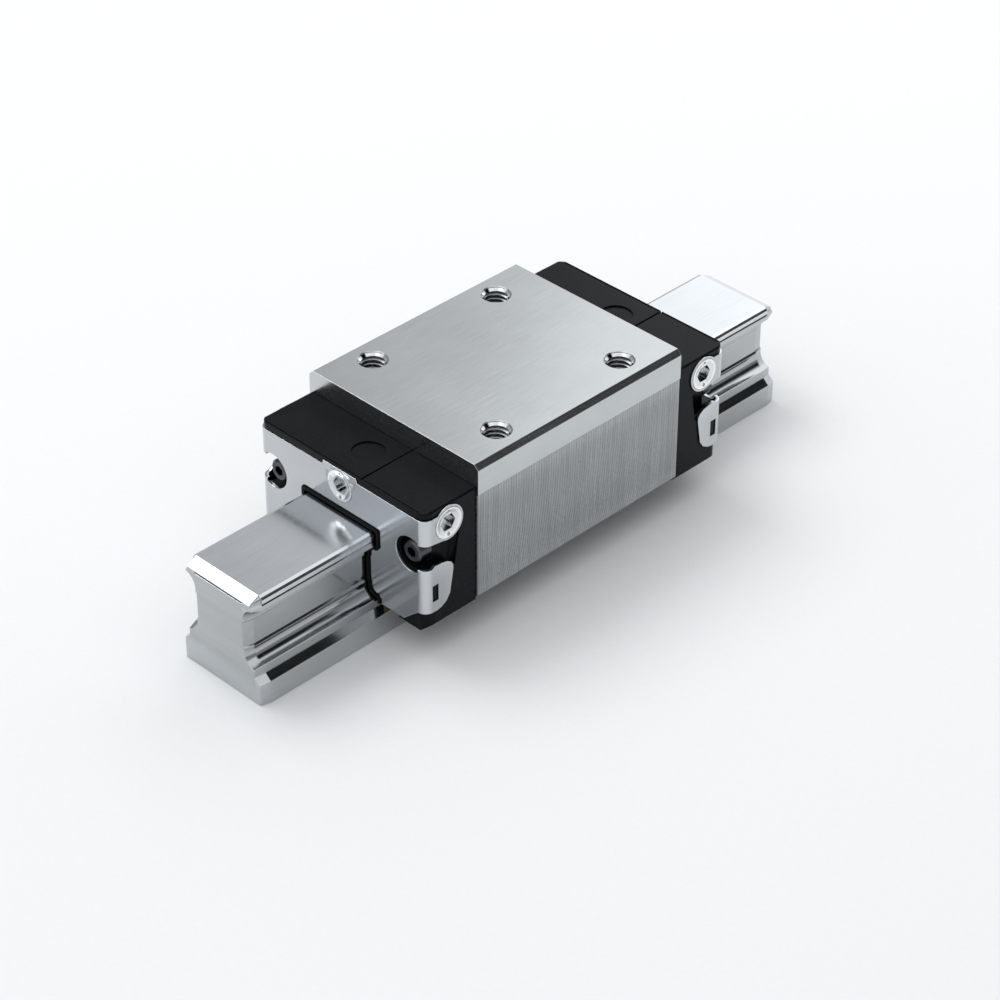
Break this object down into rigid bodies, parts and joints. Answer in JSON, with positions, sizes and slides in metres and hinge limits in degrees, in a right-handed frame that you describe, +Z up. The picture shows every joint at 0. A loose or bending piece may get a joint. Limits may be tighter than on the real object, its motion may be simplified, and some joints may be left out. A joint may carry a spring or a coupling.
{
  "type": "linear guide carriage",
  "caption": "Ball runner carriage on a short profiled guide rail: steel body with tapped holes, black end caps with metal end plates, seals and lubrication plugs; slides along the rail.",
  "frame": {"origin": "centre of the rail's base, under the middle of the carriage at rest", "axes": "+X along the rail, +Y across the rail, +Z up from the rail's base to the carriage's mounting face"},
  "size_m": [0.15, 0.048, 0.04],
  "materials": {
    "rail_steel": "ground, hardened and polished steel",
    "strip_steel": "thin spring steel strip, finely ground",
    "body_steel": "finely ground top, milled sides",
    "plate_steel": "cold-rolled stainless sheet, satin",
    "insert_steel": "hardened and ground steel",
    "ball_steel": "polished bearing steel",
    "plug_chrome": "bright nickel-plated steel",
    "cap_plastic": "semi-gloss black moulded plastic",
    "keeper_plastic": "dark moulded plastic",
    "natural_plastic": "natural-coloured moulded plastic",
    "seal_rubber": "black moulded rubber",
    "pad_foam": "oil-soaked open foam",
    "screw_black": "blackened steel"
  },
  "bodies": {
    "rail": {"rail": "rail_steel", "cover_strip": "strip_steel"},
    "carriage": {"slider_body": "body_steel", "track_insert_left": "insert_steel", "track_insert_right": "insert_steel", "balls_upper_left": "ball_steel", "balls_lower_left": "ball_steel", "balls_upper_right": "ball_steel", "balls_lower_right": "ball_steel", "return_tube_upper_left": "natural_plastic", "return_tube_lower_left": "natural_plastic", "return_tube_upper_right": "natural_plastic", "return_tube_lower_right": "natural_plastic", "ball_keeper_upper_left": "keeper_plastic", "ball_keeper_lower_left": "keeper_plastic", "ball_keeper_upper_right": "keeper_plastic", "ball_keeper_lower_right": "keeper_plastic", "side_seal_left": "seal_rubber", "side_seal_right": "seal_rubber", "turn_guides_front": "natural_plastic", "turn_guides_rear": "natural_plastic", "end_cap_front": "cap_plastic", "end_cap_rear": "cap_plastic", "lube_pad_front": "pad_foam", "lube_pad_rear": "pad_foam", "end_seal_front": "seal_rubber", "end_seal_rear": "seal_rubber", "end_plate_front": "plate_steel", "end_plate_rear": "plate_steel", "cap_screws_front": "screw_black", "cap_screws_rear": "screw_black", "face_port_plug_front": "plug_chrome", "face_port_plug_rear": "plug_chrome", "side_port_plug_front_left": "plug_chrome", "side_port_plug_front_right": "plug_chrome", "side_port_plug_rear_left": "plug_chrome", "side_port_plug_rear_right": "plug_chrome"}
  },
  "joints": [
    {"name": "carriage_slide", "type": "slide", "parent": "rail", "child": "carriage", "axis": [1, 0, 0], "range_m": [-0.031, 0.031]}
  ]
}
